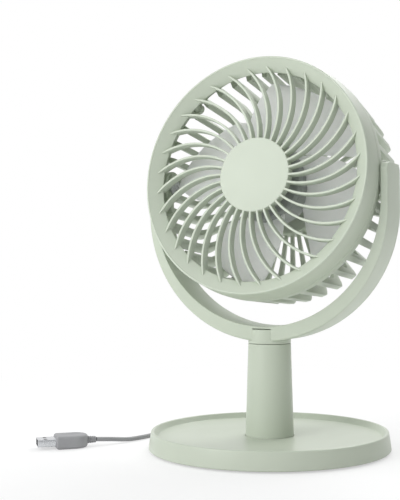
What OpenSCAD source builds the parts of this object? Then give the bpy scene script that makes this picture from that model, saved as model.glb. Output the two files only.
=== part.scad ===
// Desk fan with a tray base, a tilting head in a swivelling yoke, and a supply cord.
// Millimetres, +Z up, the fan blows towards -Y. The origin is under the middle of the base.

/* [Base] */
// Diameter of the base where it meets the desk
base_d = 153; // [120:1:200]
// Diameter of the tray rim
rim_d = 150; // [118:1:198]
// Height of the tray rim
rim_h = 12; // [10:0.5:20]
// Depth of the tray below its rim
tray_depth = 3.6; // [2:0.1:6]

/* [Column] */
// Column diameter at the tray floor
column_foot_d = 30.6; // [24:0.2:40]
// Column diameter at the swivel seam
column_top_d = 27.2; // [22:0.2:36]
// Height of the swivel seam
seam_h = 66.2; // [55:0.1:90]

/* [Yoke] */
// Height of the tilt axis
pivot_h = 169; // [150:1:190]
// Inside half width of the yoke
yoke_in_r = 78.7; // [78:0.1:85]
// Outside half width of the yoke
yoke_out_r = 83.3; // [82:0.1:92]
// Depth of the yoke, front to back
yoke_depth = 24; // [16:1:34]

/* [Head] */
// Diameter of the front ring at its lip
head_d = 152; // [146:1:153]
// Upward pitch of the head, degrees
head_tilt = 8.5; // [0:0.5:30]
// Diameter of the plain disc in the middle of the grille
hub_d = 47.6; // [36:0.2:60]
// Number of curved vanes in the front grille
vane_count = 32; // [20:1:40]
// Thickness of a vane
vane_t = 1.4; // [1:0.1:2.4]
// Radius that each vane follows
vane_arc_r = 48; // [40:1:70]
// Number of slats around the rear cage
slat_count = 40; // [24:1:48]

/* [Rotor] */
// Number of blades
blade_count = 4; // [3:1:5]
// Blade tip radius
blade_r = 66; // [50:1:67]
// Pitch of the blades, degrees
blade_pitch = 26; // [15:1:28]

/* [Cord] */
// Cord diameter
cord_d = 2.8; // [2.6:0.1:3.4]

/* [Hidden] */
$fn = 96;
eps = 0.01;

// base
floor_z = rim_h - tray_depth;
floor_t = 2;
under_z = floor_z - floor_t;
foot_h = 1.2;
plate_t = 1.6;
plate_z = foot_h + plate_t;
skirt_z = 0.9;
wall_t = 2.2;
plate_r = base_d / 2 - 3.2;
flange_r = 20;
plate_screw_r = 60;
column_screw_r = 15.5;

// swivel
swivel_gap = 0.3;
collar_z = seam_h + swivel_gap;
shaft_r = 5;
bearing_h = 7;
wire_r = 2.4;
collar_top = 75.4;
pocket_top = 76.3;
pocket_y = -9.5;

// yoke
yoke_in_z = 155.9;
yoke_out_z = 151.3;
arm_top = pivot_h + 8.5;
half = yoke_depth / 2;
cover_t = 2.5;
cover_y = half - cover_t;
yoke_round = 1.2;
arm_round = 5;
channel_wall = 1.3;
channel_top = 157;
pin_r = 4;
pin_end = yoke_out_r - 1.8;
yoke_screws_at = [[-30, 78.4], [30, 78.4], [-81, 162], [81, 162]];

// head, measured forwards (+) and backwards (-) from the tilt axis
lip_z = 27.3;
lip_r = head_d / 2;
shell_r = 77.6;
seam_z = 12.5;
band_z = 5.9;
bevel_in_r = 67;
bevel_in_z = 20.5;
vane_tip_r = 70.6;
vane_phase = -2.4;
disc_z = 23.2;
cage_r = 74.8;
cage_z = -37.5;
cage_round = 6;
hub_ring_r = 28.4;
hub_ring_t = 2;
plate_back_z = -29;
plate_front_z = -27;
pad_r = 10.5;
pad_face = 77.9;
pad_in = 71.9;
washer_t = 0.5;
lug_r = 70.9;
lug_z = 9.6;
lug_top = 12.9;
can_r = 14;
can_front = 2;
board_r = 17;
board_z = -34.6;
board_t = 1.2;
cover_back = -41.5;
cover_skin = 1.6;
cover_screw_r = 21.2;

// rotor
rotor_hub_r = 26;
rotor_front = 9;
rotor_back = -12;
motor_shaft_r = 1.5;
blade_mid = -2;
blade_camber_r = 400;
blade_t = 1.6;
blade_phase = -10;

// button
button_r = 5;
button_gap = 0.3;

// socket, plugs and cord
port_z = 4.9;
port_w = 6.8;
port_h = 1.8;
port_mouth = 77;
grip_b = [17.3, 12.4, 6.4];
grip_a = [20.7, 17.6, 8];
neck_r = 2.4;
neck_len = 5.4;
plug_at = [-104, -42];
plug_heading = 225;
coil_at = [-44, 92.5];
coil_in_r = 11.2;
coil_rows = [5, 4];
cord_r = cord_d / 2;
cord_steps = 4;
cord_sides = 8;
coil_path = [[0, 99.5, 4.9], [0, 103.5, 4.6], [-2, 108.5, 3.6], [-7, 113, 2.4], [-14, 115.5, 1.4],
    [-22, 116.3, 1.4], [-30, 116, 1.4], [-37, 115.3, 1.4], [-44, 114.9, 1.4]];
plug_path = [[-63.6, 92.5, 4.2], [-63.7, 85, 4.2], [-64.2, 78, 4], [-65.5, 70, 2.6], [-68, 61, 1.5],
    [-73, 48, 1.4], [-80, 33, 1.4], [-86, 18, 1.4], [-88, 3, 1.4], [-90, -10, 1.4], [-93, -22, 1.7],
    [-98, -33, 3.1], [-103.9, -41.9, 4]];

// colours
sage = [0.80, 0.86, 0.78];
pale = [0.90, 0.92, 0.92];
steel = [0.70, 0.71, 0.73];
dark = [0.16, 0.17, 0.18];
grey = [0.60, 0.60, 0.61];
green_board = [0.10, 0.36, 0.22];

// ---------- helpers ----------

// Moves a child into the head, where +Z is forwards and the tilt axis is X.
module in_head() {
    translate([0, 0, pivot_h]) rotate([90 - head_tilt, 0, 0]) children();
}

// Stands a drawing up so that its Y is height and it is thick from y0 to y1.
module upright(y0, y1) {
    translate([0, y1, 0]) rotate([90, 0, 0]) linear_extrude(y1 - y0) children();
}

// A bar along X from x0 to x1.
module bar_x(x0, x1, r) {
    translate([x0, 0, 0]) rotate([0, 90, 0]) cylinder(r = r, h = x1 - x0);
}

// Copies of a child around Z.
module around(count, radius, start = 0) {
    for (i = [0 : count - 1]) rotate(start + i * 360 / count) translate([radius, 0, 0]) children();
}

// A pan-head screw: head from z0 to z0 + head_h, shank on up to z1.
module screw(z0, head_h, z1, head_r, shank_r) {
    translate([0, 0, z0]) cylinder(r = head_r, h = head_h);
    translate([0, 0, z0]) cylinder(r = shank_r, h = z1 - z0);
}

module tube(r_out, r_in, z0, z1) {
    translate([0, 0, z0]) difference() {
        cylinder(r = r_out, h = z1 - z0);
        translate([0, 0, -1]) cylinder(r = r_in, h = z1 - z0 + 2);
    }
}

module box(x, y, z) {
    translate([x[0], y[0], z[0]]) cube([x[1] - x[0], y[1] - y[0], z[1] - z[0]]);
}

// ---------- base ----------

module tray_base() color(sage) {
    rim_r = rim_d / 2;
    difference() {
        union() {
            rotate_extrude() {
                polygon([[base_d / 2 - 0.6, skirt_z], [base_d / 2, skirt_z + 0.6], [rim_r, rim_h - 1],
                    [rim_r - 2, rim_h - 1], [rim_r - 4.4, floor_z], [column_foot_d / 2 + 0.3, floor_z],
                    [column_foot_d / 2 + 0.3, under_z], [base_d / 2 - wall_t - 0.7, under_z],
                    [base_d / 2 - wall_t - 0.7, skirt_z]]);
                translate([rim_r - 1, rim_h - 1]) circle(r = 1);
            }
            around(4, plate_screw_r, 45) translate([0, 0, plate_z])
                cylinder(r = 3.2, h = under_z - plate_z + eps);
        }
        around(4, plate_screw_r, 45) translate([0, 0, plate_z - 1]) cylinder(r = 1.3, h = 4);
        box([-4.6, 4.6], [66, 80], [3, under_z]);
    }
}

module base_plate() color(sage) {
    difference() {
        translate([0, 0, foot_h]) cylinder(r = plate_r, h = plate_t);
        around(4, plate_screw_r, 45) cylinder(r = 1.3, h = 5);
        around(3, column_screw_r, 90) cylinder(r = 1.5, h = 5);
    }
}

module ballast_weight() color(steel) {
    difference() {
        tube(54, 22, plate_z, plate_z + 3);
        box([-13, 13], [38, 60], [0, 10]);
    }
}

module foot_ring() color(dark) tube(71, 66, 0, foot_h);

module plate_screws() color(steel) {
    around(4, plate_screw_r, 45) screw(0.4, foot_h - 0.4, 5.6, 2.6, 1.3);
}

module column() color(sage) {
    difference() {
        union() {
            translate([0, 0, floor_z - 0.6])
                cylinder(r1 = column_foot_d / 2, r2 = column_top_d / 2, h = seam_h - floor_z + 0.6);
            translate([0, 0, plate_z]) cylinder(r = column_foot_d / 2, h = floor_z - plate_z);
            translate([0, 0, plate_z]) cylinder(r = flange_r, h = under_z - plate_z);
        }
        translate([0, 0, plate_z - 1]) cylinder(r = 10.6, h = seam_h - bearing_h - plate_z + 1);
        cylinder(r = shaft_r + 0.05, h = seam_h + 1);
        around(3, column_screw_r, 90) cylinder(r = 1.5, h = 6);
    }
}

module column_screws() color(steel) {
    around(3, column_screw_r, 90) screw(0.3, foot_h - 0.3, 6, 2.8, 1.5);
}

module usb_socket() color(steel) {
    difference() {
        box([-3.9, 3.9], [69, 74.6], [3.6, 6.2]);
        box([-port_w / 2, port_w / 2], [70, 76], [port_z - port_h / 2, port_z + port_h / 2]);
    }
}

module socket_board() color(green_board) box([-8, 8], [58, 73], [plate_z, 3.6]);

// ---------- swivel and yoke ----------

// The outside of the yoke as one solid: a half round with two straight arms on top.
module yoke_edge() {
    square_r = yoke_out_r - yoke_round;
    translate([0, -half]) square([square_r, yoke_depth]);
    translate([0, -half]) square([yoke_out_r, yoke_depth - yoke_round]);
    translate([square_r, half - yoke_round]) circle(r = yoke_round);
}

module yoke_blank() {
    intersection() {
        translate([0, 0, yoke_out_z]) rotate([90, 0, 0]) rotate_extrude() yoke_edge();
        box([-100, 100], [-50, 50], [50, yoke_out_z]);
    }
    for (side = [0, 1]) mirror([side, 0, 0]) difference() {
        translate([0, 0, yoke_out_z]) mirror([0, 1, 0]) linear_extrude(arm_top - yoke_out_z) yoke_edge();
        for (end = [0, 1]) mirror([0, end, 0]) translate([0, half - arm_round, arm_top - arm_round])
            difference() {
                box([-1, 100], [0, 10], [0, 10]);
                bar_x(-2, 101, arm_round);
            }
    }
}

module yoke_inside(grow = 0) {
    translate([0, yoke_in_z]) circle(r = yoke_in_r + grow);
    translate([-yoke_in_r - grow, yoke_in_z]) square([2 * (yoke_in_r + grow), 60]);
}

// Room for the leads inside each arm, left solid around the screws.
module yoke_channel() {
    difference() {
        union() {
            intersection() {
                translate([0, yoke_out_z]) circle(r = yoke_out_r - channel_wall);
                translate([-100, 50]) square([200, yoke_out_z - 50]);
            }
            translate([channel_wall - yoke_out_r, yoke_out_z])
                square([2 * (yoke_out_r - channel_wall), channel_top - yoke_out_z]);
        }
        yoke_inside(channel_wall);
        translate([-9, 60]) square([18, 30]);
        for (p = yoke_screws_at) translate(p) circle(r = 2.6);
    }
}

module yoke_arch() color(sage) {
    difference() {
        yoke_blank();
        upright(-50, 50) yoke_inside();
        box([-100, 100], [cover_y, 50], [50, 200]);
        upright(-7, cover_y + 1) yoke_channel();
        intersection() {
            translate([0, 0, 60]) cylinder(r = column_top_d / 2, h = pocket_top - 60);
            box([-20, 20], [-30, pocket_y], [50, 90]);
        }
        translate([0, 0, 60]) cylinder(r = shaft_r, h = 13);
        translate([0, 0, 60]) cylinder(r = wire_r, h = 15);
        translate([0, 0, 74.2]) bar_x(-9.5, 9.5, 1.5);
        translate([0, 0, pivot_h]) bar_x(-pin_end, pin_end, pin_r);
        for (p = yoke_screws_at) translate([p[0], 0, p[1]]) rotate([-90, 0, 0])
            translate([0, 0, 5]) cylinder(r = 0.9, h = 10);
    }
}

module yoke_back_cover() color(sage) {
    difference() {
        intersection() {
            yoke_blank();
            box([-100, 100], [cover_y, 50], [50, 200]);
        }
        upright(-50, 50) yoke_inside();
        for (p = yoke_screws_at) translate([p[0], 0, p[1]]) rotate([-90, 0, 0]) {
            cylinder(r = 0.9, h = 20);
            translate([0, 0, half - 1]) cylinder(r = 1.7, h = 5);
        }
    }
}

module yoke_screws() color(steel) {
    for (p = yoke_screws_at) translate([p[0], half, p[1]]) rotate([90, 0, 0])
        screw(0, 1, 6.8, 1.7, 0.9);
}

module swivel_collar() color(sage) {
    difference() {
        translate([0, 0, collar_z]) cylinder(r = column_top_d / 2, h = collar_top - collar_z);
        difference() {
            yoke_blank();
            intersection() {
                translate([0, 0, 60]) cylinder(r = column_top_d / 2 + 1, h = pocket_top - 60);
                box([-20, 20], [-30, pocket_y], [50, 90]);
            }
        }
        translate([0, 0, 60]) cylinder(r = shaft_r, h = 20);
    }
}

module swivel_shaft() color(steel) tube(shaft_r, wire_r, 50, 73);

module swivel_washer() color(steel) tube(9, shaft_r, 57.4, 58.9);

module swivel_nut() color(steel) difference() {
    translate([0, 0, 53.4]) cylinder(r = 8.4, h = 4, $fn = 6);
    translate([0, 0, 50]) cylinder(r = shaft_r, h = 10);
}

// The pin is fixed in the arm; its inner head keeps the fan's boss on it.
module pivot_pin(side) {
    translate([0, 0, pivot_h]) mirror([side, 0, 0]) {
        bar_x(70.4, pin_end, pin_r);
        bar_x(70.4, 71.6, 6);
    }
}

module pivot_pin_left() color(steel) pivot_pin(1);

module pivot_pin_right() color(steel) pivot_pin(0);

module friction_washer(side) {
    translate([0, 0, pivot_h]) mirror([side, 0, 0]) difference() {
        bar_x(yoke_in_r - washer_t, yoke_in_r, 7.5);
        bar_x(60, 90, pin_r);
    }
}

module friction_washer_left() color(dark) friction_washer(1);

module friction_washer_right() color(dark) friction_washer(0);

// ---------- head: grille and cage ----------

function bevel_z(r) = bevel_in_z + (r - bevel_in_r) * 0.84;

module front_ring_section() {
    polygon([[lip_r, lip_z - 0.8], [shell_r, seam_z + 0.3], [shell_r - 0.3, seam_z], [shell_r - 2, seam_z],
        [74.1, 24.7], [bevel_in_r + 0.7, bevel_in_z - 1.6], [bevel_in_r, bevel_in_z],
        [lip_r - 1.4, bevel_z(lip_r - 1.4)]]);
    translate([lip_r - 0.8, lip_z - 0.8]) circle(r = 0.8);
}

module disc_section() {
    r = hub_d / 2;
    translate([0, disc_z - 2.2]) square([r, 1.6]);
    translate([0, disc_z - 2.2]) square([r - 0.6, 2.2]);
    translate([r - 0.6, disc_z - 0.6]) circle(r = 0.6);
    translate([r - 1.6, disc_z - 6]) square([1.6, 5]);
}

// Where the vanes may be: flush with the disc, ending in a point on the bevel.
module vane_zone() {
    polygon([[hub_d / 2 - 1, disc_z - 6], [hub_d / 2 - 1, disc_z], [vane_tip_r, bevel_z(vane_tip_r)],
        [vane_tip_r, bevel_z(vane_tip_r) - 1], [69.4, bevel_z(69.4) - 1.8], [68, disc_z - 6]]);
}

module vane() {
    start = hub_d / 2 - 1;
    intersection() {
        translate([start, vane_arc_r]) difference() {
            circle(r = vane_arc_r + vane_t / 2);
            circle(r = vane_arc_r - vane_t / 2);
        }
        translate([start - 1, -1]) square([50, 32]);
    }
}

module front_grille() color(sage) in_head() {
    difference() {
        union() {
            rotate_extrude() front_ring_section();
            rotate_extrude() disc_section();
            intersection() {
                rotate_extrude() vane_zone();
                linear_extrude(40) around(vane_count, 0, vane_phase) vane();
            }
            around(4, lug_r, 45) translate([0, 0, lug_top]) cylinder(r = 2.6, h = 8.4);
        }
        around(4, lug_r, 45) translate([0, 0, lug_top - 1]) cylinder(r = 1.1, h = 8.2);
    }
}

// Outline of the cage, turned around the axis and then cut into slats.
module slat_outline() {
    corner = cage_r - cage_round;
    polygon([[0, 20], [0, cage_z], [corner, cage_z], [corner, cage_z + cage_round],
        [cage_r, cage_z + cage_round], [shell_r, band_z + 1], [shell_r, 20]]);
    translate([corner, cage_z + cage_round]) circle(r = cage_round);
}

// The room inside the slats, which are deepest at the rounded corner.
module slat_room() {
    polygon([[0, 20], [0, cage_z + 3], [50, cage_z + 3], [63, cage_z + 5], [68.8, cage_z + 10.5],
        [70, cage_z + 17.5], [70.6, band_z], [shell_r - 4, band_z], [shell_r - 4, 20]]);
}

// The part of the cage wall between two radii.
module slat_section(r0, r1) {
    difference() {
        intersection() {
            slat_outline();
            translate([r0, cage_z - 1]) square([r1 - r0, band_z + 1.5 - cage_z]);
        }
        slat_room();
    }
}

module slats(r0, r1) {
    intersection() {
        rotate_extrude() slat_section(r0, r1);
        translate([0, 0, -60]) linear_extrude(80) around(slat_count, 0, 4.5)
            polygon([[20, -0.9], [80, -2.1], [80, 2.1], [20, 0.9]]);
    }
}

module band_section() {
    polygon([[shell_r, band_z], [shell_r, seam_z - 0.3], [shell_r - 0.3, seam_z], [shell_r - 2.5, seam_z],
        [shell_r - 2.5, seam_z + 2.6], [shell_r - 4, seam_z + 2.6], [shell_r - 4, seam_z - 1],
        [shell_r - 2.4, seam_z - 3], [shell_r - 2.4, band_z]]);
}

// The side of the cage: band, slats with their rounded corner, pivot pads and screw lugs.
module cage_wall() color(sage) in_head() {
    difference() {
        union() {
            rotate_extrude() band_section();
            slats(cage_r - cage_round, shell_r);
            for (side = [0, 1]) mirror([side, 0, 0]) bar_x(pad_in, pad_face, pad_r);
            around(4, lug_r, 45) translate([0, 0, lug_z]) cylinder(r = 3.4, h = lug_top - lug_z);
        }
        for (side = [0, 1]) mirror([side, 0, 0]) {
            bar_x(60, 90, pin_r + 0.05);
            bar_x(60, pad_in, 7.2);
        }
        around(4, lug_r, 45) cylinder(r = 1.1, h = 20);
    }
}

// The flat back of the cage: radial slats and the hub that carries the motor.
module cage_back() color(sage) in_head() {
    difference() {
        union() {
            slats(hub_ring_r - 1, cage_r - cage_round);
            tube(hub_ring_r, hub_ring_r - hub_ring_t, cage_z, plate_front_z);
            tube(hub_ring_r - 1, 3.2, plate_back_z, plate_front_z);
            around(3, 13, 90) translate([0, 0, board_z + board_t])
                cylinder(r = 2.2, h = plate_back_z - board_z - board_t);
            around(2, cover_screw_r) translate([0, 0, -35]) cylinder(r = 2.4, h = 7);
        }
        around(2, cover_screw_r) translate([0, 0, -36]) cylinder(r = 1.1, h = 7);
        around(2, 8, 90) translate([0, 0, -40]) cylinder(r = 1, h = 20);
    }
}

module case_screws() color(steel) in_head() around(4, lug_r, 45) screw(lug_z - 1.6, 1.6, 19, 2.2, 1.1);

// ---------- head: motor and controls ----------

module motor_can() color(steel) in_head() difference() {
    translate([0, 0, plate_front_z]) cylinder(r = can_r, h = can_front - plate_front_z);
    translate([0, 0, -40]) cylinder(r = 4, h = 60);
    around(2, 8, 90) translate([0, 0, -40]) cylinder(r = 1, h = 17);
}

module motor_screws() color(steel) in_head() around(2, 8, 90) screw(-30.2, 1.2, -24, 1.9, 1);

module front_bush() color(steel) in_head() tube(4, motor_shaft_r + 0.05, -2, can_front + 1.6);

module rear_bush() color(steel) in_head() tube(4, motor_shaft_r + 0.05, plate_front_z, -23);

module control_board() color(green_board) in_head() {
    translate([0, 0, board_z]) cylinder(r = board_r, h = board_t);
}

module speed_switch() color(dark) in_head() box([-3, 3], [-3, 3], [board_z - 2.6, board_z]);

module motor_cover() color(sage) in_head() {
    r = hub_ring_r;
    skin = cover_back + cover_skin;
    hole = button_r + button_gap;
    difference() {
        union() {
            rotate_extrude() {
                polygon([[hole, cover_back], [r - 1.2, cover_back], [r, cover_back + 1.2], [r, cage_z],
                    [r - 2.1, cage_z], [r - 2.1, -35], [r - 3.6, -35], [r - 3.6, skin], [hole, skin]]);
            }
            around(2, cover_screw_r) translate([0, 0, skin - 0.2]) cylinder(r = 2.6, h = -35 - skin + 0.2);
        }
        around(2, cover_screw_r) {
            translate([0, 0, -45]) cylinder(r = 1.1, h = 12);
            translate([0, 0, cover_back - 1]) cylinder(r = 2.2, h = 2.2);
        }
        translate([0, 12, -45]) cylinder(r = 1.2, h = 10);
    }
}

module cover_screws() color(steel) in_head() {
    around(2, cover_screw_r) screw(cover_back, 1.2, -30, 2.2, 1.1);
}

module status_light() color(pale) in_head() {
    translate([0, 12, cover_back]) cylinder(r = 1.2, h = board_z - cover_back);
}

module speed_button() color(pale) in_head() {
    translate([0, 0, cover_back - 1.5]) cylinder(r = button_r, h = cover_skin + 2.6);
    translate([0, 0, cover_back + cover_skin + 0.3]) cylinder(r = button_r + 1.2, h = 0.8);
}

// ---------- rotor ----------

module motor_shaft() color(steel) in_head() translate([0, 0, -31]) cylinder(r = motor_shaft_r, h = 41);

// A petal between a front edge, a swept rear edge and a rounded tip.
module blade_outline() {
    intersection() {
        circle(r = blade_r);
        translate([35, -38]) circle(r = 58);
        translate([33, 2]) circle(r = 48.5);
        polygon([[16, 20], [29.2, -42], [33, -47], [70, -47], [70, 20]]);
    }
}

// One cambered sheet, pitched about its own radius and trimmed to the outline.
module blade() {
    intersection() {
        translate([0, 0, -30]) linear_extrude(60) blade_outline();
        translate([0, 0, blade_mid]) rotate([blade_pitch, 0, 0]) translate([12, 0, -blade_camber_r])
            rotate([0, 90, 0]) difference() {
                cylinder(r = blade_camber_r, h = 60);
                translate([0, 0, -1]) cylinder(r = blade_camber_r - blade_t, h = 62);
            }
        box([14, 70], [-50, 40], [-28, 20]);
    }
}

module rotor_hub_section() {
    r = rotor_hub_r;
    difference() {
        union() {
            translate([0, rotor_back]) square([r, rotor_front - rotor_back - 1.5]);
            translate([0, rotor_front - 2]) square([r - 1.5, 2]);
            translate([r - 1.5, rotor_front - 1.5]) circle(r = 1.5);
        }
        translate([-1, rotor_back - 1]) square([r - 0.6, rotor_front - rotor_back - 1]);
        translate([r - 0.4, 4.4]) square([2, 0.6]);
    }
}

module rotor_blades() color(pale) in_head() difference() {
    union() {
        rotate_extrude() rotor_hub_section();
        translate([0, 0, 4.2]) cylinder(r = 4.5, h = 3.2);
        difference() {
            around(blade_count, 0, blade_phase) blade();
            translate([0, 0, -30]) cylinder(r = rotor_hub_r - 0.8, h = 60);
        }
    }
    translate([0, 0, -20]) cylinder(r = motor_shaft_r, h = 40);
}

module rotor_cap() color(pale) in_head() difference() {
    translate([0, 0, rotor_front]) cylinder(r = 5, h = 2.2);
    translate([0, 0, rotor_front - 1]) cylinder(r = motor_shaft_r, h = 2);
}

// ---------- cord and plugs ----------

// Catmull-Rom curve through hand-placed points.
function at(p, i) = p[max(0, min(len(p) - 1, i))];
function curve(a, b, c, d, t) = 0.5 * (2 * b + (c - a) * t + (2 * a - 5 * b + 4 * c - d) * t * t
    + (3 * b - a - 3 * c + d) * t * t * t);
function smooth(p) = concat([for (i = [0 : len(p) - 2], k = [0 : cord_steps - 1])
    curve(at(p, i - 1), p[i], p[i + 1], at(p, i + 2), k / cord_steps)], [p[len(p) - 1]]);
function unit(v) = v / norm(v);
function heading(p, i) = unit(at(p, i + 1) - at(p, i - 1));
function ring(p, i) = let (f = heading(p, i), s = unit(cross(f, [0, 0, 1])), u = cross(s, f))
    [for (k = [0 : cord_sides - 1]) let (a = k * 360 / cord_sides)
        p[i] + cord_r * (cos(a) * s + sin(a) * u)];

module sweep(path) {
    p = smooth(path);
    n = len(p);
    m = cord_sides;
    polyhedron(
        points = [for (i = [0 : n - 1]) each ring(p, i)],
        faces = concat([[for (k = [0 : m - 1]) m - 1 - k]], [[for (k = [0 : m - 1]) (n - 1) * m + k]],
            [for (i = [0 : n - 2], k = [0 : m - 1], h = [0, 1]) let (a = i * m + k, b = i * m + (k + 1) % m)
                h == 0 ? [a, b, b + m] : [a, b + m, a + m]]));
}

module cord_to_coil() color(grey) sweep(coil_path);

module cord_to_plug() color(grey) sweep(plug_path);

// The turns lie beside and on each other on the desk.
module cord_coil() color(grey) translate([coil_at[0], coil_at[1], 0]) rotate_extrude() {
    for (j = [0 : len(coil_rows) - 1], i = [0 : coil_rows[j] - 1])
        translate([coil_in_r + i * cord_d, cord_r + j * cord_d]) circle(r = cord_r);
    translate([coil_in_r, cord_r - 0.5]) square([(coil_rows[0] - 1) * cord_d, 1]);
    translate([coil_in_r, cord_r]) square([(coil_rows[1] - 1) * cord_d, (len(coil_rows) - 1) * cord_d]);
}

// A grip seen from above, with the cord end at x = 0 and the metal end at +X.
module grip(size) {
    r = size[1] / 2;
    end = neck_len + size[0];
    difference() {
        union() {
            bar_x(0, neck_len + 2, neck_r);
            translate([0, 0, -size[2] / 2]) linear_extrude(size[2]) {
                translate([neck_len + r, 0]) circle(r = r);
                translate([neck_len + r, -r]) square([end - neck_len - r - 1.5, 2 * r]);
                translate([end - 2, 1.5 - r]) square([2, 2 * r - 3]);
                for (y = [1.5 - r, r - 1.5]) translate([end - 1.5, y]) circle(r = 1.5);
            }
        }
        translate([neck_len + r + 1, 0, size[2] / 2 - 0.4]) cylinder(r = r * 0.62, h = 1);
    }
}

module at_port() translate([0, port_mouth + grip_b[0] + neck_len, port_z]) rotate(-90) children();

module at_plug() translate([plug_at[0], plug_at[1], grip_a[2] / 2]) rotate(plug_heading) children();

module micro_plug_grip() color(grey) at_port() grip(grip_b);

module micro_plug_shell() color(steel) {
    box([-port_w / 2, port_w / 2], [port_mouth - 5.8, port_mouth],
        [port_z - port_h / 2, port_z + port_h / 2]);
}

module usb_plug_grip() color(grey) at_plug() grip(grip_a);

module usb_plug_shell() color(steel) at_plug() translate([neck_len + grip_a[0], 0, 0]) difference() {
    box([0, 11.2], [-6, 6], [-2.25, 2.25]);
    box([-1, 12], [-5.7, 5.7], [-1.95, 1.95]);
    for (y = [-3, 3]) box([5.2, 7.4], [y - 1.2, y + 1.2], [0, 4]);
}

module usb_plug_insert() color(dark) at_plug() translate([neck_len + grip_a[0], 0, 0])
    box([0, 10.6], [-5.7, 5.7], [-1.95, -0.1]);

// ---------- what is drawn ----------

tray_base();
base_plate();
ballast_weight();
foot_ring();
plate_screws();
column();
column_screws();
usb_socket();
socket_board();
micro_plug_shell();
micro_plug_grip();
cord_to_coil();
cord_coil();
cord_to_plug();
usb_plug_shell();
usb_plug_insert();
usb_plug_grip();
swivel_collar();
swivel_shaft();
swivel_washer();
swivel_nut();
yoke_arch();
yoke_back_cover();
yoke_screws();
pivot_pin_left();
pivot_pin_right();
friction_washer_left();
friction_washer_right();
front_grille();
cage_wall();
cage_back();
case_screws();
motor_can();
motor_screws();
front_bush();
rear_bush();
control_board();
speed_switch();
motor_cover();
cover_screws();
status_light();
motor_shaft();
rotor_blades();
rotor_cap();
speed_button();
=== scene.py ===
"""Looks of the desk fan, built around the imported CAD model.

Shapes are drawn in millimetres and end up in the row frame in metres: +Z up, the fan faces -Y.
The head has axes of its own: +Z forwards, the way the fan blows, and X along the tilt axis.
"""

import math

import bmesh
import bpy
from mathutils import Matrix, Vector


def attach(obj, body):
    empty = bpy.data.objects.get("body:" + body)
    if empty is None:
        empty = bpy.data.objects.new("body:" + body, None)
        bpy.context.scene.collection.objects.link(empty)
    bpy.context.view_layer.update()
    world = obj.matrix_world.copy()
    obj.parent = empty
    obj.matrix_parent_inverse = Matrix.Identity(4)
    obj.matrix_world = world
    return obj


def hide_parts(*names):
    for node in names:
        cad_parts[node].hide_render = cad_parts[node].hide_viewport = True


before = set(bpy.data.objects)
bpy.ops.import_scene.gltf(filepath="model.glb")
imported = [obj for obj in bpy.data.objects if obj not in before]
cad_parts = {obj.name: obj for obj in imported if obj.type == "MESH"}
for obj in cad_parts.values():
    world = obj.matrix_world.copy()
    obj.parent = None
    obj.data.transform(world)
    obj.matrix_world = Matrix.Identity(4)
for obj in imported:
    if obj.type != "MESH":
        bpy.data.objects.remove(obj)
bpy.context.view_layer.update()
scene = bpy.context.scene

MM = 0.001
ROW = Matrix()
PIVOT = 169
PITCH = 8.5
HEAD = Matrix.Translation((0, 0, PIVOT)) @ Matrix.Rotation(math.radians(90 - PITCH), 4, "X")


# ---------- camera ----------

CAMERA_AWAY, CAMERA_UP = 0.6, 0.1111
CAMERA_ROUND, CAMERA_TURN, CAMERA_RISE = math.radians(25.33), math.radians(26.83), math.radians(3.23)


def make_camera():
    """A little to the right of the fan's front, a hand's height above the desk, looking slightly up."""
    data = bpy.data.cameras.new("camera")
    data.lens, data.sensor_width = 67.26, 36
    data.shift_x, data.shift_y = -0.09, -0.06
    data.clip_start, data.clip_end = 0.02, 60
    camera = bpy.data.objects.new("camera", data)
    scene.collection.objects.link(camera)
    camera.location = (CAMERA_AWAY * math.sin(CAMERA_ROUND), -CAMERA_AWAY * math.cos(CAMERA_ROUND), CAMERA_UP)
    level = Vector((-math.sin(CAMERA_TURN), math.cos(CAMERA_TURN), 0)) * math.cos(CAMERA_RISE)
    forwards = level + Vector((0, 0, math.sin(CAMERA_RISE)))
    camera.rotation_mode = "QUATERNION"
    camera.rotation_quaternion = forwards.to_track_quat("-Z", "Y")
    scene.camera = camera


# ---------- materials ----------


def node_at(tree, kind, **values):
    """A new node with its sockets, or failing that its settings, at these values."""
    made = tree.nodes.new(kind)
    for key, value in values.items():
        socket = made.inputs.get(key.replace("_", " "))
        if socket is not None:
            socket.default_value = value
        else:
            setattr(made, key, value)
    return made


WAVE_SCALE = 55.0


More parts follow.
